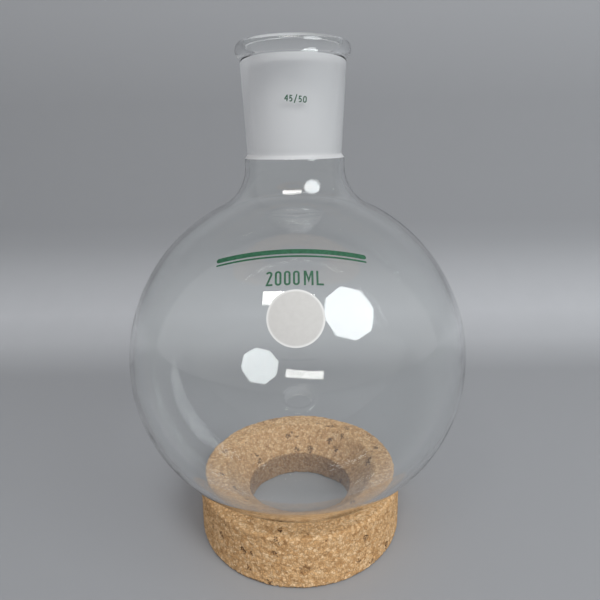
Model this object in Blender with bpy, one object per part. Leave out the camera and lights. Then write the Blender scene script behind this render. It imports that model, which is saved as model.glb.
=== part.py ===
"""Round-bottom flask of two litres with one 45/50 ground joint, standing in a pressed cork ring.

Sizes are in millimetres and become metres when a mesh is made. +Z is up, the enamel marks face
-Y, and the origin is on the bench, under the middle of the ring.
"""
import math

import bmesh
import bpy
from mathutils import Vector

MM = 0.001
TURN_STEPS = 48         # flats around a turned piece, so that a vertex lies on +X, -X, +Y and -Y
FIT_GAP = 0.3           # air left between two pieces that rest on each other or are welded

# Cork ring
RING_RADIUS = 53.0
RING_HEIGHT = 27.0
RING_HOLE_RADIUS = 28.0
RING_EDGE = 1.8         # rounding of the outer top and bottom edges
HOLE_EDGE = 0.8         # chamfer where the hole meets the bench
SEAT_TOP_RADIUS = 40.7  # upper edge of the conical seat, which clears the bulb by FIT_GAP
SEAT_FOOT_Z = 14.0

# Flask body
BULB_RADIUS = 83.0
BULB_DEPTH = 78.0       # from the widest girth down to the lowest point, a little flatter than round
BULB_CENTRE_Z = 95.4
BULB_WALL = 2.0
TUBE_RADIUS = 23.8
SHOULDER_ROUNDING = 20.0
WELD_Z = 190.9          # where the bought joint is welded to the blown body

# 45/50 outer joint: the ground bore loses 1 mm of diameter in each 10 mm of depth, over 50 mm
MOUTH_Z = 244.2
JOINT_WALL = 2.4
BORE_MOUTH_RADIUS = 22.5
BORE_SLOPE = 0.05
GROUND_LENGTH = 50.0
LEDGE_Z = 194.6         # lower end of the tapered outside, where it flares out to the tube
FLARE_DEPTH = 2.6
BEAD_BASE_Z = 237.4
BEAD_BULGE = 2.1        # how far the rolled rim stands out from the tapered outside
MOUTH_CHAMFER = 0.4

# Fired enamel marks on the side that faces -Y
ENAMEL_LIFT = 0.12      # clears the facets' corners
ENAMEL_TOP = 0.37
SPOT_RADIUS = 10.9
SPOT_ELEVATION = 30.4   # degrees above the bulb's equator
CAPACITY_ELEVATION = 41.2
CAPACITY_ACROSS = -0.5  # middle of the characters, along the glass from the bulb's front line
CAPACITY_HEIGHT = 6.1
CAPACITY_PITCH = 3.45
CAPACITY_STROKE = 0.8
STRIPES_ELEVATION = 48.9
STRIPES_ACROSS = -1.8
STRIPES_LENGTH = 61.0
SIZE_MARK_Z = 218.2
SIZE_MARK_ACROSS = 1.0
SIZE_MARK_TILT = -5.0   # degrees, printed slightly off level
SIZE_MARK_HEIGHT = 2.7
SIZE_MARK_PITCH = 2.0
SIZE_MARK_STROKE = 0.45


def arc(centre_x, centre_y, radius_x, radius_y, start, end, steps):
    """Points on an ellipse's arc, both ends included; the angles are in degrees."""
    angles = [math.radians(start + (end - start) * i / steps) for i in range(steps + 1)]
    return [(centre_x + radius_x * math.cos(a), centre_y + radius_y * math.sin(a)) for a in angles]


def material(name, colour, roughness, metallic=0.0, transmission=0.0, alpha=1.0):
    made = bpy.data.materials.new(name)
    made.use_nodes = True
    made.diffuse_color = (*colour, alpha)
    shader = made.node_tree.nodes["Principled BSDF"]
    shader.inputs["Base Color"].default_value = (*colour, 1.0)
    shader.inputs["Roughness"].default_value = roughness
    shader.inputs["Metallic"].default_value = metallic
    shader.inputs["Transmission Weight"].default_value = transmission
    shader.inputs["Alpha"].default_value = alpha
    return made


def finish_object(name, bm, finish):
    """Closes a bmesh given in millimetres into one named object with its faces pointing out."""
    bmesh.ops.remove_doubles(bm, verts=bm.verts, dist=1e-4)
    bmesh.ops.recalc_face_normals(bm, faces=bm.faces)
    bmesh.ops.scale(bm, vec=(MM, MM, MM), verts=bm.verts)
    mesh = bpy.data.meshes.new(name)
    bm.to_mesh(mesh)
    bm.free()
    mesh.shade_smooth()
    mesh.set_sharp_from_angle(angle=math.radians(35))
    mesh.materials.append(finish)
    made = bpy.data.objects.new(name, mesh)
    bpy.context.collection.objects.link(made)
    return made


def turned(name, profile, finish, closed=True):
    """Spins a profile of (radius, height) points about Z; an open one begins and ends on the axis."""
    bm = bmesh.new()
    verts = [bm.verts.new((radius, 0.0, height)) for radius, height in profile]
    following = verts[1:] + verts[:1] if closed else verts[1:]
    edges = [bm.edges.new(pair) for pair in zip(verts, following)]
    bmesh.ops.spin(bm, geom=verts + edges, cent=(0, 0, 0), axis=(0, 0, 1),
                   angle=math.tau, steps=TURN_STEPS, use_merge=True)
    return finish_object(name, bm, finish)


# Cork ring -----------------------------------------------------------------------------------

def ring_profile():
    """Straight outside with worn edges, a flat top land, a conical seat and a plain hole."""
    inner = RING_RADIUS - RING_EDGE
    profile = [(RING_HOLE_RADIUS + HOLE_EDGE, 0.0)]
    profile += arc(inner, RING_EDGE, RING_EDGE, RING_EDGE, -90, 0, 3)
    profile += arc(inner, RING_HEIGHT - RING_EDGE, RING_EDGE, RING_EDGE, 0, 90, 3)
    profile += [(SEAT_TOP_RADIUS, RING_HEIGHT), (RING_HOLE_RADIUS, SEAT_FOOT_Z)]
    profile += [(RING_HOLE_RADIUS, HOLE_EDGE)]
    return profile


# Glass ---------------------------------------------------------------------------------------

def bulb_wall(inset):
    """From the bulb's lowest point, round its shoulder and up to the tube, `inset` inside the skin."""
    tube_axis_gap = TUBE_RADIUS + SHOULDER_ROUNDING
    shoulder_rise = math.sqrt((BULB_RADIUS + SHOULDER_ROUNDING) ** 2 - tube_axis_gap ** 2)
    tangent = math.degrees(math.atan2(shoulder_rise, tube_axis_gap))
    ball = BULB_RADIUS - inset
    rounding = SHOULDER_ROUNDING + inset
    shoulder_z = BULB_CENTRE_Z + shoulder_rise
    depth = BULB_DEPTH - inset
    wall = [(0.0, BULB_CENTRE_Z - depth)]
    wall += arc(0.0, BULB_CENTRE_Z, ball, depth, -90, 0, 10)[1:]
    wall += arc(0.0, BULB_CENTRE_Z, ball, ball, 0, tangent, 8)[1:]
    wall += arc(tube_axis_gap, shoulder_z, rounding, rounding, tangent + 180, 180, 6)[1:]
    return wall + [(TUBE_RADIUS - inset, WELD_Z)]


def bore_radius(height):
    return BORE_MOUTH_RADIUS - BORE_SLOPE * (MOUTH_Z - height)


def joint_outside(height):
    return bore_radius(height) + JOINT_WALL


def joint_profile():
    """Tube stub, flare, tapered outside, rolled rim with a flat mouth, and the ground bore."""
    weld_top = WELD_Z + FIT_GAP
    ground_end = MOUTH_Z - GROUND_LENGTH
    tube_bore = TUBE_RADIUS - BULB_WALL
    rim_base = joint_outside(BEAD_BASE_Z)
    rim_half = (MOUTH_Z - BEAD_BASE_Z) / 2
    profile = [(tube_bore, weld_top), (TUBE_RADIUS, weld_top)]
    profile += [(TUBE_RADIUS, LEDGE_Z - FLARE_DEPTH), (joint_outside(LEDGE_Z), LEDGE_Z)]
    profile += arc(rim_base, MOUTH_Z - rim_half, BEAD_BULGE, rim_half, -90, 90, 10)
    profile += [(BORE_MOUTH_RADIUS + MOUTH_CHAMFER, MOUTH_Z)]
    profile += [(bore_radius(MOUTH_Z - MOUTH_CHAMFER), MOUTH_Z - MOUTH_CHAMFER)]
    profile += [(bore_radius(ground_end), ground_end)]
    return profile


# Enamel --------------------------------------------------------------------------------------

def on_bulb(elevation):
    """Wraps a flat mark, centred at this elevation, along the great circles of the bulb."""
    tilt = math.radians(elevation)
    outward = Vector((0.0, -math.cos(tilt), math.sin(tilt)))
    upward = Vector((0.0, math.sin(tilt), math.cos(tilt)))
    centre = Vector((0.0, 0.0, BULB_CENTRE_Z))

    def place(x, y, lift):
        along = Vector((1.0, 0.0, 0.0)) * x + upward * y
        turn = along.length / BULB_RADIUS
        direction = outward * math.cos(turn)
        if along.length > 0:
            direction += along.normalized() * math.sin(turn)
        return centre + direction * (BULB_RADIUS + lift)

    return place


def on_joint(x, y, lift):
    """Wraps a flat mark round the tapered outside of the joint, centred at SIZE_MARK_Z."""
    height = SIZE_MARK_Z + y
    radius = joint_outside(height)
    turn = x / radius
    reach = radius + lift
    return Vector((reach * math.sin(turn), -reach * math.cos(turn), height))


def enamel(name, outlines, place, finish):
    """Fills closed outlines, given flat with holes allowed, and lays them on the glass as a film."""
    bm = bmesh.new()
    edges = []
    for outline in outlines:
        verts = [bm.verts.new((x, y, 0.0)) for x, y in outline]
        edges += [bm.edges.new(pair) for pair in zip(verts, verts[1:] + verts[:1])]
    bmesh.ops.triangle_fill(bm, use_beauty=True, use_dissolve=False, edges=edges)
    film = bmesh.ops.extrude_face_region(bm, geom=bm.faces[:])
    tops = {item for item in film["geom"] if isinstance(item, bmesh.types.BMVert)}
    for vert in bm.verts:
        vert.co = place(vert.co.x, vert.co.y, ENAMEL_TOP if vert in tops else ENAMEL_LIFT)
    return finish_object(name, bm, finish)


def ribbon(path, width):
    """Outline of one pen stroke along a path, with mitred bends and square ends."""
    points = [Vector(point) for point in path]
    left, right = [], []
    for i, point in enumerate(points):
        before = (point - points[i - 1]).normalized() if i > 0 else None
        after = (points[i + 1] - point).normalized() if i + 1 < len(points) else None
        heading = ((before or after) + (after or before)).normalized()
        side = Vector((-heading.y, heading.x))
        square = Vector((-(after or before).y, (after or before).x))
        reach = width / 2 / max(side.dot(square), 0.6)
        left.append(tuple(point + side * reach))
        right.append(tuple(point - side * reach))
    return left + right[::-1]


def zero(height, stroke, half_width=0.21):
    """Two nested rounded slots; half_width is a share of the height."""
    outlines = []
    straight = (0.5 - half_width) * height
    for inset in (0.0, stroke):
        end_radius = half_width * height - inset
        outlines.append(arc(0, straight, end_radius, end_radius, 0, 180, 12)
                        + arc(0, -straight, end_radius, end_radius, 180, 360, 12))
    return outlines


def wide_zero(height, stroke):
    return zero(height, stroke, half_width=0.29)


def two(height, stroke):
    half = (height - stroke) / 2
    bend = 0.21 * height - stroke / 2
    path = arc(0, half - bend, bend, bend, 165, -25, 12)
    path += [(-bend, -half), (bend + stroke / 2, -half)]
    return [ribbon(path, stroke)]


def four(height, stroke):
    """Outline with a triangular hole: stem, cross-bar and the slope between them."""
    half = height / 2
    stem_left, stem_right = 0.06 * height, 0.06 * height + stroke
    bar_low, bar_high = -0.22 * height, -0.22 * height + stroke
    reach = -0.28 * height
    outside = [(stem_left, -half), (stem_right, -half), (stem_right, bar_low)]
    outside += [(stem_right + 0.07 * height, bar_low), (stem_right + 0.07 * height, bar_high)]
    outside += [(stem_right, bar_high), (stem_right, half), (stem_left, half)]
    outside += [(reach, bar_high), (reach, bar_low), (stem_left, bar_low)]
    hole = [(reach + stroke, bar_high), (stem_left, bar_high), (stem_left, half - 2.2 * stroke)]
    return [outside, hole]


def five(height, stroke):
    half = (height - stroke) / 2
    bend = 0.25 * height
    low = half - 0.42 * height
    path = [(0.18 * height, half), (-0.16 * height, half), (-0.18 * height, low)]
    path += arc(-0.03 * height, -half + bend, bend - stroke / 4, bend, 100, -130, 14)
    return [ribbon(path, stroke)]


def slash(height, stroke):
    return [ribbon([(-0.16 * height, -0.66 * height), (0.16 * height, 0.66 * height)], stroke)]


def letter_m(height, stroke):
    half, wide, peak = height / 2, 0.3 * height, 1.2 * stroke
    side = [(wide - stroke, -half), (wide, -half), (wide, half), (wide - peak, half)]
    outline = [(0.0, -0.34 * height), (wide - stroke, 0.22 * height)] + side
    outline += [(0.0, 0.02 * height)]
    outline += [(-x, y) for x, y in side[::-1]] + [(stroke - wide, 0.22 * height)]
    return [outline]


def letter_l(height, stroke):
    half = (height - stroke) / 2
    path = [(-0.19 * height, height / 2), (-0.19 * height, -half), (0.21 * height, -half)]
    return [ribbon(path, stroke)]


def moved(outlines, across, tilt=0.0):
    """Shifts outlines along their line of print, then turns that line about its middle."""
    cos, sin = math.cos(math.radians(tilt)), math.sin(math.radians(tilt))
    return [[((x + across) * cos - y * sin, (x + across) * sin + y * cos) for x, y in outline]
            for outline in outlines]


def stripe(length, low, high):
    """A long bar with half-round ends, cut short enough along it to follow the bulb."""
    middle, end_radius, steps = (low + high) / 2, (high - low) / 2, 24
    straight = length / 2 - end_radius
    run = [straight * (2 * i / steps - 1) for i in range(1, steps)]
    outline = arc(straight, middle, end_radius, end_radius, -90, 90, 6)
    outline += [(x, high) for x in run[::-1]]
    outline += arc(-straight, middle, end_radius, end_radius, 90, 270, 6)
    return [outline + [(x, low) for x in run]]


def spot_profile():
    """A round cap of enamel, drawn about its own axis and bent to the bulb."""
    reach = math.degrees(SPOT_RADIUS / BULB_RADIUS)
    low, high = BULB_RADIUS + ENAMEL_LIFT, BULB_RADIUS + ENAMEL_TOP
    return arc(0, 0, low, low, 90, 90 - reach, 4) + arc(0, 0, high, high, 90 - reach, 90, 4)


# Build ---------------------------------------------------------------------------------------

for old in list(bpy.data.objects):
    bpy.data.objects.remove(old, do_unlink=True)

cork = material("cork", (0.52, 0.33, 0.18), 0.9)
clear_glass = material("clear_glass", (0.86, 0.90, 0.90), 0.02, transmission=1.0, alpha=0.35)
ground_glass = material("ground_glass", (0.80, 0.82, 0.83), 0.5, transmission=0.6, alpha=0.7)
white_enamel = material("white_enamel", (0.72, 0.69, 0.67), 0.6)
green_enamel = material("green_enamel", (0.02, 0.10, 0.05), 0.45)

turned("cork_ring", ring_profile(), cork)
turned("flask_bulb", bulb_wall(0.0) + bulb_wall(BULB_WALL)[::-1], clear_glass, closed=False)
turned("ground_joint", joint_profile(), ground_glass)

spot = turned("marking_spot", spot_profile(), white_enamel, closed=False)
spot.location = (0.0, 0.0, BULB_CENTRE_Z * MM)
spot.rotation_euler = (math.radians(90 - SPOT_ELEVATION), 0.0, 0.0)

# Each character's place is counted in pitches from the middle of its line.
capacity_mark = [(-2.75, "digit_2", two), (-1.75, "digit_0_left", zero),
                 (-0.75, "digit_0_middle", zero), (0.25, "digit_0_right", zero),
                 (1.6, "letter_m", letter_m), (2.9, "letter_l", letter_l)]
for slot, mark_name, draw in capacity_mark:
    across = CAPACITY_ACROSS + slot * CAPACITY_PITCH
    outlines = moved(draw(CAPACITY_HEIGHT, CAPACITY_STROKE), across)
    enamel("capacity_" + mark_name, outlines, on_bulb(CAPACITY_ELEVATION), green_enamel)

size_mark = [(-2, "digit_4", four), (-1, "digit_5_left", five), (0, "slash", slash),
             (1, "digit_5_right", five), (2, "digit_0", wide_zero)]
for slot, mark_name, draw in size_mark:
    across = SIZE_MARK_ACROSS + slot * SIZE_MARK_PITCH
    outlines = moved(draw(SIZE_MARK_HEIGHT, SIZE_MARK_STROKE), across, SIZE_MARK_TILT)
    enamel("joint_size_" + mark_name, outlines, on_joint, green_enamel)

for stripe_name, low, high in (("wide_stripe", -0.3, 1.9), ("thin_stripe", -1.9, -1.1)):
    outlines = moved(stripe(STRIPES_LENGTH, low, high), STRIPES_ACROSS)
    enamel(stripe_name, outlines, on_bulb(STRIPES_ELEVATION), green_enamel)
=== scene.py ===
# %% [markdown]
# # A round-bottom flask on its cork ring
# The object is a blown borosilicate flask of two litres. It has one ground neck joint, a white spot to
# write on, green enamel marks, and it stands in a ring of pressed cork. This lesson starts from a plain
# working model and makes each visible surface: glass with a real wall, ground glass, cork and enamel.

# %% Load the working model
import math

import bmesh
import bpy
import numpy as np
from mathutils import Euler, Matrix, Vector, noise


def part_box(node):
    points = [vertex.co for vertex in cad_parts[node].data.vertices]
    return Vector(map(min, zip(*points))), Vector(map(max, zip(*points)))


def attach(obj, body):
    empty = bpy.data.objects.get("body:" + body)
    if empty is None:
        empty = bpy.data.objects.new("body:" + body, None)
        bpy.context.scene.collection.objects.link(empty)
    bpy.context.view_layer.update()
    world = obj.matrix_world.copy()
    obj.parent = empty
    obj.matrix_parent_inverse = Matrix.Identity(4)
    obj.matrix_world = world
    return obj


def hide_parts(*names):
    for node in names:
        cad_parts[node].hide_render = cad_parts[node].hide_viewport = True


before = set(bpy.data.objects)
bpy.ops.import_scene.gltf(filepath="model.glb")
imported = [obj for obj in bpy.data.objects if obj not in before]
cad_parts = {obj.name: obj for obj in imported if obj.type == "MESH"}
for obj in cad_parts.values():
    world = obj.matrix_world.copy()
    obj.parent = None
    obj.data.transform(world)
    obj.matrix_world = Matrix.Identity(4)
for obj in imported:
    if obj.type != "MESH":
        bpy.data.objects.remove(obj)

scene = bpy.context.scene
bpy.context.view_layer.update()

# %% [markdown]
# ## The sizes that everything hangs on
# Each size that the working model's boxes can tell is read from them: the bulb, the ring and the mouth.
# The glass wall, the bore, the ring's seat and the height of the bulb's girth don't show in a box, so
# they are named here, in millimetres.

# %% Sizes
MM = 0.001
ring_low, ring_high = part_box("cork_ring")
bulb_low, bulb_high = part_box("flask_bulb")
joint_low, joint_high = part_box("ground_joint")

RING_RADIUS = ring_high.x
RING_HEIGHT = ring_high.z
BULB_RADIUS = bulb_high.x
BULB_CENTRE = Vector((0.0, 0.0, 95.4 * MM))
BULB_DEPTH = BULB_CENTRE.z - bulb_low.z
MOUTH_Z = joint_high.z
RIM_RADIUS = joint_high.x

BULB_WALL = 2.0 * MM
JOINT_WALL = 2.4 * MM
TUBE_RADIUS = 23.8 * MM
SHOULDER_ROUNDING = 20.0 * MM
INNER_SHOULDER_ROUNDING = 21.0 * MM
BORE_MOUTH_RADIUS = 22.5 * MM
BORE_SLOPE = 0.05
GROUND_LENGTH = 50.0 * MM
LEDGE_Z = 194.6 * MM
RING_HOLE_RADIUS = 28.0 * MM
SEAT_TOP_RADIUS = 40.7 * MM
SEAT_FOOT_Z = 14.0 * MM
print(f"bulb {2000 * BULB_RADIUS:.0f} mm across, ring {2000 * RING_RADIUS:.0f} mm,"
      f" mouth at {1000 * MOUTH_Z:.0f} mm")

# %% [markdown]
# ## The camera
# The camera stands a quarter of a metre in front, a little above the foot of the joint, and is tipped
# down. It comes first, so that every later choice can be judged in its view. Its small roll makes the
# neck lean.

# %% Camera
CAMERA_PLACE = Vector((1.9, -252.2, 201.4)) * MM
CAMERA_TIP = math.radians(12.1)
CAMERA_ROLL = math.radians(0.87)
LENS_MM = 31.16
FRAME_DROP = -0.083     # the frame hangs a little below the lens axis

camera = bpy.data.objects.new("camera", bpy.data.cameras.new("camera"))
scene.collection.objects.link(camera)
scene.camera = camera
camera.location = CAMERA_PLACE
level = Euler((math.pi / 2 - CAMERA_TIP, 0.0, 0.0)).to_matrix()
camera.rotation_euler = (level @ Matrix.Rotation(-CAMERA_ROLL, 3, "Z")).to_euler()
camera.data.lens = LENS_MM
camera.data.sensor_width = 36.0
camera.data.shift_y = FRAME_DROP
camera.data.clip_start = 0.01
print("camera is", round(-1000 * CAMERA_PLACE.y), "mm in front of the flask's axis")

# %% [markdown]
# ## Shader arithmetic
# A shader is easiest to read as a formula. `Wire` wraps one socket, so that `1 - mask * 0.4` adds the
# Math nodes by itself. `Finish` starts a material, and its one method `add` makes every other node.

# %% Wire and Finish
class Wire:
    """One socket of a node tree that can be used in a Python expression."""

    def __init__(self, finish, socket):
        self.finish, self.socket = finish, socket

    def joined(self, operation, first, second):
        return self.finish.add("ShaderNodeMath", {"operation": operation}, {0: first, 1: second})

    def __add__(self, other): return self.joined("ADD", self, other)
    def __radd__(self, other): return self.joined("ADD", other, self)
    def __sub__(self, other): return self.joined("SUBTRACT", self, other)
    def __rsub__(self, other): return self.joined("SUBTRACT", other, self)
    def __mul__(self, other): return self.joined("MULTIPLY", self, other)
    def __rmul__(self, other): return self.joined("MULTIPLY", other, self)
    def __pow__(self, other): return self.joined("POWER", self, other)


class Finish:
    """A material and the few ways of adding to it."""

    def __init__(self, name):
        self.material = bpy.data.materials.new(name)
        self.material.use_nodes = True
        self.tree = self.material.node_tree
        self.tree.nodes.clear()

    def add(self, kind, settings=None, sockets=None, out=0):
        """Adds a node: its settings first, then the values or wires of its sockets."""
        node = self.tree.nodes.new(kind)
        for name, value in (settings or {}).items():
            if name == "stops":
                ramp = node.color_ramp.elements
                while len(ramp) < len(value):
                    ramp.new(1.0)
                for element, (place, colour) in zip(ramp, value):
                    element.position, element.color = place, (*colour, 1.0)
            else:
                setattr(node, name, value)
        for name, value in (sockets or {}).items():
            if isinstance(value, Wire):
                self.tree.links.new(value.socket, node.inputs[name])
            else:
                node.inputs[name].default_value = value
        return Wire(self, node.outputs[out])

    def blend(self, share, first, second):
        """Mixes two colours by a share from 0 to 1. A Mix node keeps its colours in sockets 6 and 7."""
        return self.add("ShaderNodeMix", {"data_type": "RGBA"}, {0: share, 6: first, 7: second}, 2)

    def place(self):
        """The piece's own coordinates, in metres."""
        return self.add("ShaderNodeTexCoord", out="Object")

    def noise(self, scale, detail=3.0, roughness=0.5):
        """A soft random pattern with about `scale` swells to the metre."""
        return self.add("ShaderNodeTexNoise", None,
                        {"Vector": self.place(), "Scale": scale, "Detail": detail,
                         "Roughness": roughness}, "Fac")

    def step(self, value, low, high, start=0.0, end=1.0):
        """`start` at low, `end` at high, and smooth between them."""
        return self.add("ShaderNodeMapRange", {"interpolation_type": "SMOOTHSTEP"},
                        {"Value": value, "From Min": low, "From Max": high,
                         "To Min": start, "To Max": end})

    def show(self, surface):
        """Makes this shader the material's surface."""
        output = self.tree.nodes.new("ShaderNodeOutputMaterial")
        self.tree.links.new(surface.socket, output.inputs["Surface"])
        return self.material


print("shader helpers ready")

# %% [markdown]
# ## Turning a piece
# Both the flask and the ring are round, so each is one outline turned about the upright axis. Blender's
# Screw modifier could do it, but laying the rings of points by hand keeps the poles clean and lets each
# stretch of the outline carry its own material.

# %% Outline and turning helpers
def arc(centre_x, centre_y, radius_x, radius_y, start, end, steps):
    """Points on an ellipse's arc, both ends included; the angles are in degrees."""
    turn = np.radians(np.linspace(start, end, steps + 1))
    return [(centre_x + radius_x * math.cos(a), centre_y + radius_y * math.sin(a)) for a in turn]


def turned(name, outline, steps, slots=None, closed=False):
    """Turns (radius, height) points about Z; slots gives the material slot of each outline step."""
    angles = np.arange(steps) * math.tau / steps
    bm = bmesh.new()
    rings = []
    for radius, height in outline:
        if radius < 1e-9:
            rings.append([bm.verts.new((0.0, 0.0, height))] * steps)
        else:
            rings.append([bm.verts.new((radius * math.cos(a), radius * math.sin(a), height))
                          for a in angles])
    pairs = list(zip(rings, rings[1:] + rings[:1])) if closed else list(zip(rings, rings[1:]))
    for number, (lower, upper) in enumerate(pairs):
        for i in range(steps):
            j = (i + 1) % steps
            corners = list(dict.fromkeys((lower[i], lower[j], upper[j], upper[i])))
            face = bm.faces.new(corners)
            face.smooth = True
            face.material_index = slots[number] if slots else 0
    bmesh.ops.recalc_face_normals(bm, faces=bm.faces)
    mesh = bpy.data.meshes.new(name)
    bm.to_mesh(mesh)
    bm.free()
    made = bpy.data.objects.new(name, mesh)
    scene.collection.objects.link(made)
    return made


# %% [markdown]
# ## The flask's outline
# A flask is blown from tube, so bulb, shoulder and neck are one wall of nearly even thickness, and the
# joint is welded on. For light to bend as it does in the real wall, the mesh is a closed skin: up the
# outside, over the rolled rim, down the ground bore and round the inside of the bulb.

# %% Flask outline
def bore_radius(height):
    return BORE_MOUTH_RADIUS - BORE_SLOPE * (MOUTH_Z - height)


def body_wall(inset, rounding):
    """Bulb, shoulder and tube from the lowest point upward, `inset` inside the outer skin."""
    ball, depth = BULB_RADIUS - inset, BULB_DEPTH - inset
    gap = TUBE_RADIUS - inset + rounding
    rise = math.sqrt((ball + rounding) ** 2 - gap ** 2)
    tangent = math.degrees(math.atan2(rise, gap))
    wall = [(0.0, BULB_CENTRE.z - depth)] + arc(0.0, BULB_CENTRE.z, ball, depth, -90, 0, 52)[1:]
    wall += arc(0.0, BULB_CENTRE.z, ball, ball, 0, tangent, 36)[1:]
    wall += arc(gap, BULB_CENTRE.z + rise, rounding, rounding, tangent + 180, 180, 20)[1:]
    return wall


def eased(start, end, steps):
    """An S-shaped step between two outline points, as a weld leaves it."""
    run = []
    for i in range(1, steps + 1):
        t = i / steps
        ease = t * t * (3 - 2 * t)
        run.append((start[0] + (end[0] - start[0]) * ease, start[1] + (end[1] - start[1]) * t))
    return run


# %% Rim and weld sizes
RIM_HALF = 3.4 * MM
rim_root = bore_radius(MOUTH_Z - 2 * RIM_HALF) + JOINT_WALL
RIM_BULGE = RIM_RADIUS - rim_root
FLARE = 2.6 * MM
FLARE_STEPS, FLARE_CLEAR_STEPS = 8, 2     # the foot of the weld is as clear as the tube
INNER_FLARE = 1.8 * MM
MOUTH_ROUNDING = 0.5 * MM
GRIND_STEPS = 24
CLEAR_LIP = 6.4 * MM     # fire-polished top of the bore, above the ground part
ground_end = MOUTH_Z - GROUND_LENGTH
print(f"rim bulges {1000 * RIM_BULGE:.1f} mm, ground bore ends at {1000 * ground_end:.0f} mm")

# %% The whole outline
outline = body_wall(0.0, SHOULDER_ROUNDING)
flare_first = len(outline) - 1
outline += eased((TUBE_RADIUS, LEDGE_Z - FLARE), (bore_radius(LEDGE_Z) + JOINT_WALL, LEDGE_Z),
                 FLARE_STEPS)
flare_last = len(outline) - 1
outline += arc(rim_root, MOUTH_Z - RIM_HALF, RIM_BULGE, RIM_HALF, -90, 90, 24)
outline += arc(BORE_MOUTH_RADIUS + MOUTH_ROUNDING, MOUTH_Z - MOUTH_ROUNDING, MOUTH_ROUNDING,
               MOUTH_ROUNDING, 90, 180, 6)
ground_first = len(outline)
for i in range(GRIND_STEPS + 1):
    height = MOUTH_Z - CLEAR_LIP - (GROUND_LENGTH - CLEAR_LIP) * i / GRIND_STEPS
    outline.append((bore_radius(height), height))
ground_last = len(outline) - 1
outline += eased((bore_radius(ground_end), ground_end),
                 (TUBE_RADIUS - BULB_WALL, ground_end - INNER_FLARE), 6)
outline += body_wall(BULB_WALL, INNER_SHOULDER_ROUNDING)[::-1]
matt_steps = {*range(flare_first + FLARE_CLEAR_STEPS, flare_last), *range(ground_first, ground_last)}
slots = [1 if i in matt_steps else 0 for i in range(len(outline) - 1)]
print("outline:", len(outline), "points")

# %% [markdown]
# Blown glass is never quite even. The inside of the bulb keeps faint rings and swells of a few
# hundredths of a millimetre, which bend what is seen through them. They are pressed into the mesh, on
# the inner skin only, so that the outline stays true.

# %% Flask skin
WAVE_DEPTH = 0.05 * MM
WAVE_TOP = ground_end - 12.0 * MM     # the neck above is drawn tube, and stays even
BETWEEN_SKINS = 0.985                 # of the outer skin; the inner one lies at about 0.975
FLASK_STEPS = 192


def on_inner_skin(place):
    """Tells a point inside the bulb from one outside; the lower half is a little flat."""
    if place.z > BULB_CENTRE.z:
        return (place - BULB_CENTRE).length < BULB_RADIUS - BULB_WALL / 2
    across = math.hypot(place.x, place.y) / BULB_RADIUS
    return math.hypot(across, (BULB_CENTRE.z - place.z) / BULB_DEPTH) < BETWEEN_SKINS


def swell(outward):
    """A slow drift, and the finer level rings that turning the hot glass leaves."""
    rings = Vector((outward.x, outward.y, outward.z * 14.0))
    return noise.noise(outward * 5.0) + 0.5 * noise.noise(rings)


flask = turned("flask_glass", outline, FLASK_STEPS, slots)
for vert in flask.data.vertices:
    if vert.co.z < WAVE_TOP and on_inner_skin(vert.co):
        outward = (vert.co - BULB_CENTRE).normalized()
        vert.co -= outward * WAVE_DEPTH * (1.0 + swell(outward))
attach(flask, "flask")
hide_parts("flask_bulb", "ground_joint")
print("flask skin:", len(flask.data.polygons), "faces")

# %% [markdown]
# ## Clear glass
# Borosilicate bends light by an index of 1.47 and takes almost no colour. Cycles traces that well, but
# its lamps can't shine through a refracting skin, so lamp rays meet a see-through stand-in. That one is
# darker where the wall is met edge-on, and so the flask still throws its soft rimmed shadow.

# %% Glass that lets lamps in
GLASS_INDEX = 1.473
STAND_IN_DARK = 0.02


def let_lamps_in(finish, glass, clearness, rim_power):
    """Shows the glass to the eye, and a see-through stand-in to lamps and to scattered light."""
    edge_on = finish.add("ShaderNodeLayerWeight", None, {"Blend": 0.5}, "Facing")
    clear = finish.add("ShaderNodeBsdfTransparent", None, {"Color": (clearness,) * 3 + (1.0,)})
    dark = finish.add("ShaderNodeBsdfTransparent", None, {"Color": (STAND_IN_DARK,) * 3 + (1.0,)})
    shade = finish.add("ShaderNodeMixShader", None, {0: edge_on ** rim_power, 1: clear, 2: dark})
    lamp_ray = finish.add("ShaderNodeLightPath", out="Is Shadow Ray")
    soft_ray = finish.add("ShaderNodeLightPath", out="Is Diffuse Ray")
    lit = finish.add("ShaderNodeMixShader", None, {0: lamp_ray, 1: glass, 2: shade})
    return finish.add("ShaderNodeMixShader", None, {0: soft_ray, 1: lit, 2: shade})


print("glass index:", GLASS_INDEX)


# %% Clear glass
def clear_glass():
    finish = Finish("clear_borosilicate")
    sway = finish.noise(14.0, 2.0)
    normal = finish.add("ShaderNodeBump", None, {"Strength": 0.05, "Distance": 0.0004, "Height": sway})
    glass = finish.add("ShaderNodeBsdfPrincipled", None,
                       {"Base Color": (0.985, 0.995, 0.990, 1.0), "Roughness": 0.0,
                        "IOR": GLASS_INDEX, "Transmission Weight": 1.0, "Normal": normal})
    return finish.show(let_lamps_in(finish, glass, 0.97, 6.0))


flask.data.materials.append(clear_glass())
print("slot 0:", flask.data.materials[0].name)


# %% [markdown]
# ## Ground glass
# The joint's bore is ground with grit to a matt taper, and the top of the weld is milky too. Roughness
# alone leaves such a surface too dark, because rays that bounce inside it are lost. So a rough glass is
# mixed with a shader that scatters light forward and one that scatters it back.

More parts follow.
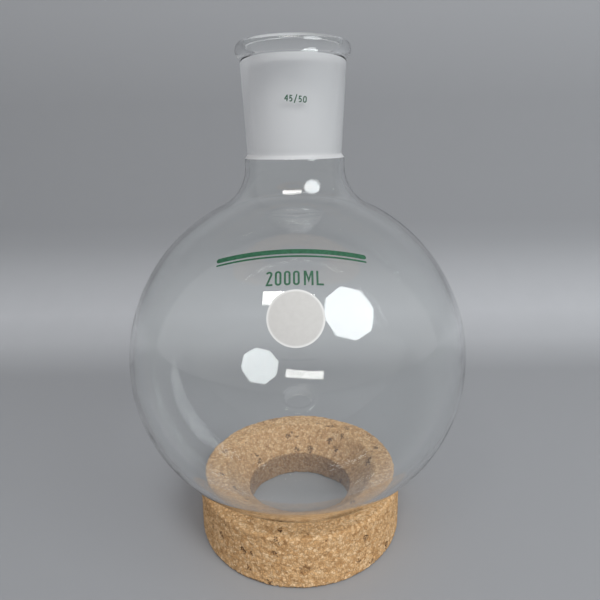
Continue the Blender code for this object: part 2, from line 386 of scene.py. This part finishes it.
# %% Ground glass
def ground_glass():
    finish = Finish("ground_borosilicate")
    grit = finish.noise(2600.0, 2.0, 0.7)
    normal = finish.add("ShaderNodeBump", None, {"Strength": 0.3, "Distance": 0.0001, "Height": grit})
    frost = finish.add("ShaderNodeBsdfPrincipled", None,
                       {"Base Color": (0.97, 0.97, 0.97, 1.0), "Roughness": 0.55,
                        "IOR": GLASS_INDEX, "Transmission Weight": 1.0, "Normal": normal})
    milky = (0.95, 0.95, 0.96, 1.0)
    haze = finish.add("ShaderNodeBsdfTranslucent", None, {"Color": milky})
    matt = finish.add("ShaderNodeBsdfDiffuse", None, {"Color": milky})
    scatter = finish.add("ShaderNodeMixShader", None, {0: 0.5, 1: haze, 2: matt})
    surface = finish.add("ShaderNodeMixShader", None, {0: 0.8, 1: frost, 2: scatter})
    return finish.show(let_lamps_in(finish, surface, 0.94, 3.0))


flask.data.materials.append(ground_glass())
print("slot 1:", flask.data.materials[1].name)

# %% [markdown]
# ## Cork ring
# Pressed cork is granules of bark glued under pressure: tan grains of one to three millimetres, dark
# specks of outer bark, and open pores where a grain broke out.

# %% Cork outline
RING_EDGE = 1.8 * MM
HOLE_EDGE = 0.8 * MM
LIP_ROUNDING = 1.6 * MM


def ring_outline():
    """Worn outer edges, a flat land, a conical seat with a rubbed lip, and a plain hole."""
    inner = RING_RADIUS - RING_EDGE
    lip, along_land = Vector((SEAT_TOP_RADIUS, RING_HEIGHT)), Vector((1.0, 0.0))
    down_seat = (Vector((RING_HOLE_RADIUS, SEAT_FOOT_Z)) - lip).normalized()
    corners = [(RING_HOLE_RADIUS + HOLE_EDGE, 0.0)]
    corners += arc(inner, RING_EDGE, RING_EDGE, RING_EDGE, -90, 0, 5)
    corners += arc(inner, RING_HEIGHT - RING_EDGE, RING_EDGE, RING_EDGE, 0, 90, 5)
    corners += [tuple(lip + along_land * LIP_ROUNDING),
                tuple(lip + (down_seat + along_land) * 0.3 * LIP_ROUNDING),
                tuple(lip + down_seat * LIP_ROUNDING)]
    return corners + [(RING_HOLE_RADIUS, SEAT_FOOT_Z), (RING_HOLE_RADIUS, HOLE_EDGE)]


def resampled(corners, spacing):
    """Closes a loop of corners with evenly spaced points between them."""
    points = []
    for a, b in zip(corners, corners[1:] + corners[:1]):
        parts = max(1, round(math.dist(a, b) / spacing))
        points += [(a[0] + (b[0] - a[0]) * i / parts, a[1] + (b[1] - a[1]) * i / parts)
                   for i in range(parts)]
    return points


# %% Turn the ring
CORK_SPACING = 0.66 * MM
CORK_STEPS = 520

cork = turned("cork_ring_pressed", resampled(ring_outline(), CORK_SPACING), CORK_STEPS, closed=True)
print("cork ring:", len(cork.data.polygons), "faces")

# %% [markdown]
# The surface of pressed cork is sawn through its granules. Some granules stand back a little, their
# borders are fine cracks, and here and there one fell out. A cell pattern gives each granule its own
# depth, and every point only ever moves into the cork, so that the ring keeps its size.

# %% Press the granules into the mesh
GRANULE = 1.6 * MM
CRACK_DEPTH = 0.16 * MM
PIT_DEPTH = 0.6 * MM
PIT_SHARE = 0.09
CRACK_REACH = 0.30          # how far a crack reaches into its granule, as a share of its width
STAND_BACK = 0.10 * MM
WEAR_DEPTH, WEAR_SCALE = 0.05 * MM, 120.0
DRAW_SPREAD = 7.3           # sets the granules' centres apart, so that each draws its own luck


def cork_depth(place):
    """How far the worn surface lies under the sawn one."""
    distances, centres = noise.voronoi(place / GRANULE)
    border = distances[1] - distances[0]
    inside = min(1.0, border / CRACK_REACH)
    luck = noise.cell(centres[0] * DRAW_SPREAD)
    depth = CRACK_DEPTH * (1.0 - inside) + STAND_BACK * luck
    if luck < PIT_SHARE:
        depth += PIT_DEPTH * inside * inside * (3.0 - 2.0 * inside)
    return depth + WEAR_DEPTH * (1.0 + noise.noise(place * WEAR_SCALE))


normals = [vert.normal.copy() for vert in cork.data.vertices]
for vert, normal in zip(cork.data.vertices, normals):
    vert.co -= normal * cork_depth(vert.co)
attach(cork, "ring")
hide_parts("cork_ring")
print("granules of", 1000 * GRANULE, "mm pressed in")

# %% [markdown]
# Its colour comes from the same kind of cells. Each granule has its own tan, some are dark bark, the
# borders are darker with old glue, and a fine streak runs through all of them. The seat and the hole
# are painted browner: this is painted shade in the ring's recess.

# %% Granule pattern
GRAIN_SCALE, PATCH_SCALE = 820.0, 330.0
GRAIN_SHAKE = 0.0016


def granule_pattern(finish, place):
    """Each granule's own tone, the distance to its border, and larger patches."""
    drift = finish.add("ShaderNodeTexNoise", None,
                       {"Vector": place, "Scale": GRAIN_SCALE, "Detail": 2.0}, "Color")
    shaken = finish.add("ShaderNodeVectorMath", {"operation": "MULTIPLY_ADD"},
                        {0: drift, 1: (GRAIN_SHAKE,) * 3, 2: place})
    grain = finish.add("ShaderNodeTexVoronoi", None, {"Vector": shaken, "Scale": GRAIN_SCALE}, "Color")
    tone = finish.add("ShaderNodeSeparateColor", None, {"Color": grain}, 0)
    border = finish.add("ShaderNodeTexVoronoi", {"feature": "DISTANCE_TO_EDGE"},
                        {"Vector": shaken, "Scale": GRAIN_SCALE}, "Distance")
    coarse = finish.add("ShaderNodeTexVoronoi", None, {"Vector": shaken, "Scale": PATCH_SCALE}, "Color")
    patch = finish.add("ShaderNodeSeparateColor", None, {"Color": coarse}, 1)
    return tone, border, patch


print("a granule's colour cell is about", round(1000 / GRAIN_SCALE, 1), "mm wide")

# %% Cork colours
CORK_STOPS = [(0.0, (0.10, 0.042, 0.016)), (0.13, (0.30, 0.155, 0.062)), (0.30, (0.56, 0.315, 0.135)),
              (0.62, (0.76, 0.475, 0.235)), (1.0, (0.93, 0.68, 0.42))]
GLUE_BROWN = (0.22, 0.11, 0.045, 1.0)
BARK_BROWN = (0.085, 0.040, 0.018, 1.0)
# painted shade for the hole and the seat
RECESS_SHADE_BROWN = (0.12, 0.055, 0.025, 1.0)


def painted_recess_shade(finish, place, colour):
    """Painted shade: browner in the hole, and a little browner on the seat."""
    spread = finish.add("ShaderNodeVectorMath", {"operation": "MULTIPLY"}, {0: place, 1: (1.0, 1.0, 0.0)})
    reach = finish.add("ShaderNodeVectorMath", {"operation": "LENGTH"}, {0: spread}, "Value")
    # painted shade down the hole's wall
    hole_shade = finish.step(reach, RING_HOLE_RADIUS + 0.9 * MM, RING_HOLE_RADIUS + 0.4 * MM, 0.0, 0.45)
    colour = finish.blend(hole_shade, colour, RECESS_SHADE_BROWN)
    # a lighter painted shade over the seat
    seat = finish.step(reach, SEAT_TOP_RADIUS + 0.8 * MM, SEAT_TOP_RADIUS - 0.8 * MM, 0.0, 0.14)
    return finish.blend(seat, colour, RECESS_SHADE_BROWN)


print("cork tans:", len(CORK_STOPS))


# %% Cork finish
def cork_finish():
    finish = Finish("pressed_cork")
    place = finish.place()
    tone, border, patch = granule_pattern(finish, place)
    streak = finish.noise(2600.0, 3.0, 0.6)
    shade = tone * 0.58 + patch * 0.14 + streak * 0.40 - 0.01
    colour = finish.add("ShaderNodeValToRGB", {"stops": CORK_STOPS}, {"Fac": shade})
    colour = finish.blend(finish.step(border, 0.0, 0.16, 0.45, 0.0), colour, GLUE_BROWN)
    bark = finish.step(patch, 0.045, 0.02) * finish.step(finish.noise(1300.0, 2.0), 0.42, 0.58)
    # the hole and the seat are painted browner here, as painted shade
    colour = painted_recess_shade(finish, place, finish.blend(bark, colour, BARK_BROWN))
    relief = finish.step(border, 0.0, 0.22) * 0.5 + streak * 0.5
    normal = finish.add("ShaderNodeBump", None, {"Strength": 0.7, "Distance": 0.0003, "Height": relief})
    surface = finish.add("ShaderNodeBsdfPrincipled", None,
                         {"Base Color": colour, "Roughness": 0.95 - 0.2 * tone, "Normal": normal,
                          "Specular IOR Level": 0.3})
    return finish.show(surface)


cork.data.materials.append(cork_finish())
print("cork finish ready")

# %% [markdown]
# ## Enamel
# The marks are glass paste, printed and fired on, a few hundredths of a millimetre thick. The working
# model's films stand clear of its facets, so each one is copied, cut finer and pressed onto the round
# glass. A copy keeps every outline, which drawing the marks again would not promise.

# %% Where a film lies
FILM_LOW, FILM_HIGH = 0.004 * MM, 0.05 * MM


def press_on_bulb(place, top):
    """Moves a point of a film to its depth over the bulb."""
    outward = (place - BULB_CENTRE).normalized()
    return BULB_CENTRE + outward * (BULB_RADIUS + (FILM_HIGH if top else FILM_LOW))


def press_on_joint(place, top):
    """Moves a point of a film to its depth over the tapered joint."""
    radius = bore_radius(place.z) + JOINT_WALL + (FILM_HIGH if top else FILM_LOW)
    spoke = Vector((place.x, place.y, 0.0)).normalized() * radius
    return Vector((spoke.x, spoke.y, place.z))


print("films stand", 1000 * FILM_HIGH, "mm proud of the glass")

# %% Press one film on
SPLIT_PASSES = 2
SHARP_EDGE = math.radians(40)
TOP, BOTTOM = 2, 0     # a point split off between the two counts as top


def pressed_film(node_name, press, over, longest):
    """Copies a film, splits its long edges and presses it on; over tells how high a point stands."""
    bm = bmesh.new()
    bm.from_mesh(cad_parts[node_name].data)
    heights = [over(vert.co) for vert in bm.verts]
    middle = (min(heights) + max(heights)) / 2
    tops = bm.verts.layers.int.new("top")
    for vert, height in zip(bm.verts, heights):
        vert[tops] = TOP if height > middle else BOTTOM
    for _ in range(SPLIT_PASSES):
        long_edges = [edge for edge in bm.edges if edge.calc_length() > longest]
        bmesh.ops.subdivide_edges(bm, edges=long_edges, cuts=1)
        bmesh.ops.triangulate(bm, faces=[face for face in bm.faces if len(face.verts) > 3])
    for vert in bm.verts:
        vert.co = press(vert.co, vert[tops] > BOTTOM)
    for face in bm.faces:
        face.smooth = True
    mesh = bpy.data.meshes.new(node_name + "_film")
    bm.to_mesh(mesh)
    bm.free()
    mesh.set_sharp_from_angle(angle=SHARP_EDGE)
    made = bpy.data.objects.new(node_name + "_film", mesh)
    scene.collection.objects.link(made)
    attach(made, "flask")
    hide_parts(node_name)
    return made


print("each film is split", SPLIT_PASSES, "times")

# %% Press them all on
BULB_FILM_EDGE, JOINT_FILM_EDGE = 1.2 * MM, 0.6 * MM


def over_bulb(place):
    return (place - BULB_CENTRE).length


def over_joint(place):
    return math.hypot(place.x, place.y) + BORE_SLOPE * -place.z


BULB_MARK_STARTS = ("capacity", "wide", "thin", "marking")
films = {}
for name in [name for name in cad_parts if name.startswith(BULB_MARK_STARTS)]:
    films[name] = pressed_film(name, press_on_bulb, over_bulb, BULB_FILM_EDGE)
for name in [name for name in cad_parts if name.startswith("joint_size")]:
    films[name] = pressed_film(name, press_on_joint, over_joint, JOINT_FILM_EDGE)
print(len(films), "enamel films pressed on")

# %% [markdown]
# ## Enamel finishes
# Fired enamel is a satin glass with grit in it. The green covers well and mottles where the paste was
# thin. The white of the writing spot is rougher, to take pencil.

# %% Green enamel
def green_enamel():
    finish = Finish("green_enamel_fired")
    mottle = finish.noise(900.0, 4.0, 0.65)
    thin = finish.step(mottle, 0.35, 0.75)
    shade = finish.blend(thin, (0.010, 0.070, 0.032, 1.0), (0.030, 0.125, 0.068, 1.0))
    grit = finish.noise(3000.0, 2.0)
    normal = finish.add("ShaderNodeBump", None, {"Strength": 0.15, "Distance": 0.00005, "Height": grit})
    surface = finish.add("ShaderNodeBsdfPrincipled", None,
                         {"Base Color": shade, "Roughness": 0.42 + 0.2 * mottle, "Normal": normal,
                          "Specular IOR Level": 0.35})
    return finish.show(surface)


green = green_enamel()
print("made", green.name)

# %% White enamel
spot_low, spot_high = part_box("marking_spot")
SPOT_CENTRE = (spot_low + spot_high) / 2
SPOT_RADIUS = (spot_high.x - spot_low.x) / 2


def white_enamel():
    """Satin white with a thicker, lighter rim, where the paste drew back to its edge."""
    finish = Finish("white_enamel_fired")
    away = finish.add("ShaderNodeVectorMath", {"operation": "DISTANCE"},
                      {0: finish.place(), 1: tuple(SPOT_CENTRE)}, "Value")
    rim = finish.step(away, 0.90 * SPOT_RADIUS, 0.96 * SPOT_RADIUS)
    mottle = finish.noise(500.0, 4.0, 0.6)
    body = finish.blend(mottle, (0.455, 0.440, 0.425, 1.0), (0.535, 0.522, 0.507, 1.0))
    shade = finish.blend(rim, body, (0.64, 0.63, 0.62, 1.0))
    grit = finish.noise(2200.0, 3.0)
    normal = finish.add("ShaderNodeBump", None, {"Strength": 0.2, "Distance": 0.00005, "Height": grit})
    surface = finish.add("ShaderNodeBsdfPrincipled", None,
                         {"Base Color": shade, "Roughness": 0.55 + 0.15 * mottle, "Normal": normal})
    return finish.show(surface)


white = white_enamel()
for name, film in films.items():
    film.data.materials.clear()
    film.data.materials.append(white if name == "marking_spot" else green)
print("enamel finishes ready")

# %% [markdown]
# ## The studio
# A grey sweep runs back from the bench and curves up behind the flask. Its bend is painted a paler grey
# and its wall a darker one: painted light and shade, as light from overhead would leave them. Its back
# can be seen through, so that it hides nothing in a view from behind.

# %% Sweep
SWEEP_FRONT, SWEEP_TOP, SWEEP_HALF_WIDTH = -1.6, 1.6, 1.6
BEND_START, BEND_RADIUS = 0.17, 0.10


def grey_sweep():
    """Floor, bend and wall in one sheet."""
    run = [(SWEEP_FRONT, 0.0), (-0.6, 0.0), (0.0, 0.0)]
    run += [(BEND_START + x, BEND_RADIUS + z) for x, z in arc(0, 0, BEND_RADIUS, BEND_RADIUS, -90, 0, 24)]
    run += [(BEND_START + BEND_RADIUS, SWEEP_TOP)]
    bm = bmesh.new()
    left = [bm.verts.new((-SWEEP_HALF_WIDTH, y, z)) for y, z in run]
    right = [bm.verts.new((SWEEP_HALF_WIDTH, y, z)) for y, z in run]
    for i in range(len(run) - 1):
        bm.faces.new((left[i], right[i], right[i + 1], left[i + 1])).smooth = True
    mesh = bpy.data.meshes.new("sweep")
    bm.to_mesh(mesh)
    bm.free()
    made = bpy.data.objects.new("sweep", mesh)
    scene.collection.objects.link(made)
    return made


sweep = grey_sweep()
print("sweep:", len(sweep.data.polygons), "strips")

# %% Sweep finish
TONE_TOP = 0.32      # metres above the bench; the tones' places are shares of it
# painted light and shade: the grey by height, paler at the bend and darker up the wall
SWEEP_PAINTED_LIGHT = [(0.0, 0.305), (0.04, 0.385), (0.10, 0.43), (0.175, 0.39), (0.27, 0.335), (0.37, 0.285),
               (0.74, 0.262), (1.0, 0.30)]


def cool_grey(tone):
    return tone, tone * 1.015, tone * 1.065


def sweep_finish():
    finish = Finish("grey_sweep")
    spot = finish.add("ShaderNodeNewGeometry", out="Position")
    height = finish.add("ShaderNodeSeparateXYZ", None, {"Vector": spot}, 2)
    stops = [(share, cool_grey(tone)) for share, tone in SWEEP_PAINTED_LIGHT]
    # the sweep's grey follows height, as painted light and shade
    shade = finish.add("ShaderNodeValToRGB", {"stops": stops}, {"Fac": height * (1 / TONE_TOP)})
    shade = finish.blend(finish.noise(60.0, 4.0) * 0.2, shade, (0.30, 0.305, 0.32, 1.0))
    surface = finish.add("ShaderNodeBsdfPrincipled", None, {"Base Color": shade, "Roughness": 0.9})
    behind = finish.add("ShaderNodeNewGeometry", out="Backfacing")
    open_back = finish.add("ShaderNodeBsdfTransparent")
    return finish.show(finish.add("ShaderNodeMixShader", None, {0: behind, 1: surface, 2: open_back}))


sweep.data.materials.append(sweep_finish())
print("sweep finish:", sweep.data.materials[0].name)

# %% [markdown]
# ## The lamps
# An eight-sided softbox stands high on the right, and a strip light hangs over the camera. Each is a
# glowing panel of mesh, because the glass mirrors its outline and an area lamp can't have eight sides.
# A plain pale world fills the shadows.

# %% Softbox helper
def direction(azimuth, elevation):
    """Unit vector; azimuth 0 points at the camera's side (-Y) and grows to the right (+X)."""
    a, e = math.radians(azimuth), math.radians(elevation)
    return Vector((math.cos(e) * math.sin(a), -math.cos(e) * math.cos(a), math.sin(e)))


def softbox(name, azimuth, elevation, distance, outline_points, strength, colour):
    """A glowing panel that faces the bulb; its outline is given in metres in its own plane."""
    towards = direction(azimuth, elevation)
    bm = bmesh.new()
    bm.faces.new([bm.verts.new((x, y, 0.0)) for x, y in outline_points])
    mesh = bpy.data.meshes.new(name)
    bm.to_mesh(mesh)
    bm.free()
    made = bpy.data.objects.new(name, mesh)
    made.location = BULB_CENTRE + towards * distance
    made.rotation_euler = (-towards).to_track_quat("Z", "Y").to_euler()
    scene.collection.objects.link(made)
    finish = Finish(name)
    glow = finish.add("ShaderNodeEmission", None, {"Color": (*colour, 1.0), "Strength": strength})
    mesh.materials.append(finish.show(glow))
    print(name, "at", round(1000 * made.location.z), "mm above the bench")


# %% The two softboxes
LAMP_DISTANCE = 1.5
OCTAGON_RADIUS = 0.29 * LAMP_DISTANCE
octagon = [(OCTAGON_RADIUS * math.cos(math.radians(a)), OCTAGON_RADIUS * math.sin(math.radians(a)))
           for a in range(10, 370, 45)]
softbox("octagon_softbox", 42.0, 38.0, LAMP_DISTANCE, octagon, 8.6, (0.95, 0.99, 1.0))
STRIP_HALF = Vector((0.267, 0.067)) * LAMP_DISTANCE
strip = [(-STRIP_HALF.x, -STRIP_HALF.y), (STRIP_HALF.x, -STRIP_HALF.y), tuple(STRIP_HALF),
         (-STRIP_HALF.x, STRIP_HALF.y)]
softbox("strip_softbox", -8.0, 53.0, LAMP_DISTANCE, strip, 15.0, (1.0, 0.98, 0.95))

# %% World
WORLD_GREY = (0.435, 0.44, 0.45, 1.0)

world = bpy.data.worlds.new("studio")
scene.world = world
world.use_nodes = True
world.node_tree.nodes["Background"].inputs["Color"].default_value = WORLD_GREY
world.node_tree.nodes["Background"].inputs["Strength"].default_value = 1.0
scene.view_settings.view_transform = "Standard"
print("world fill:", WORLD_GREY[:3])
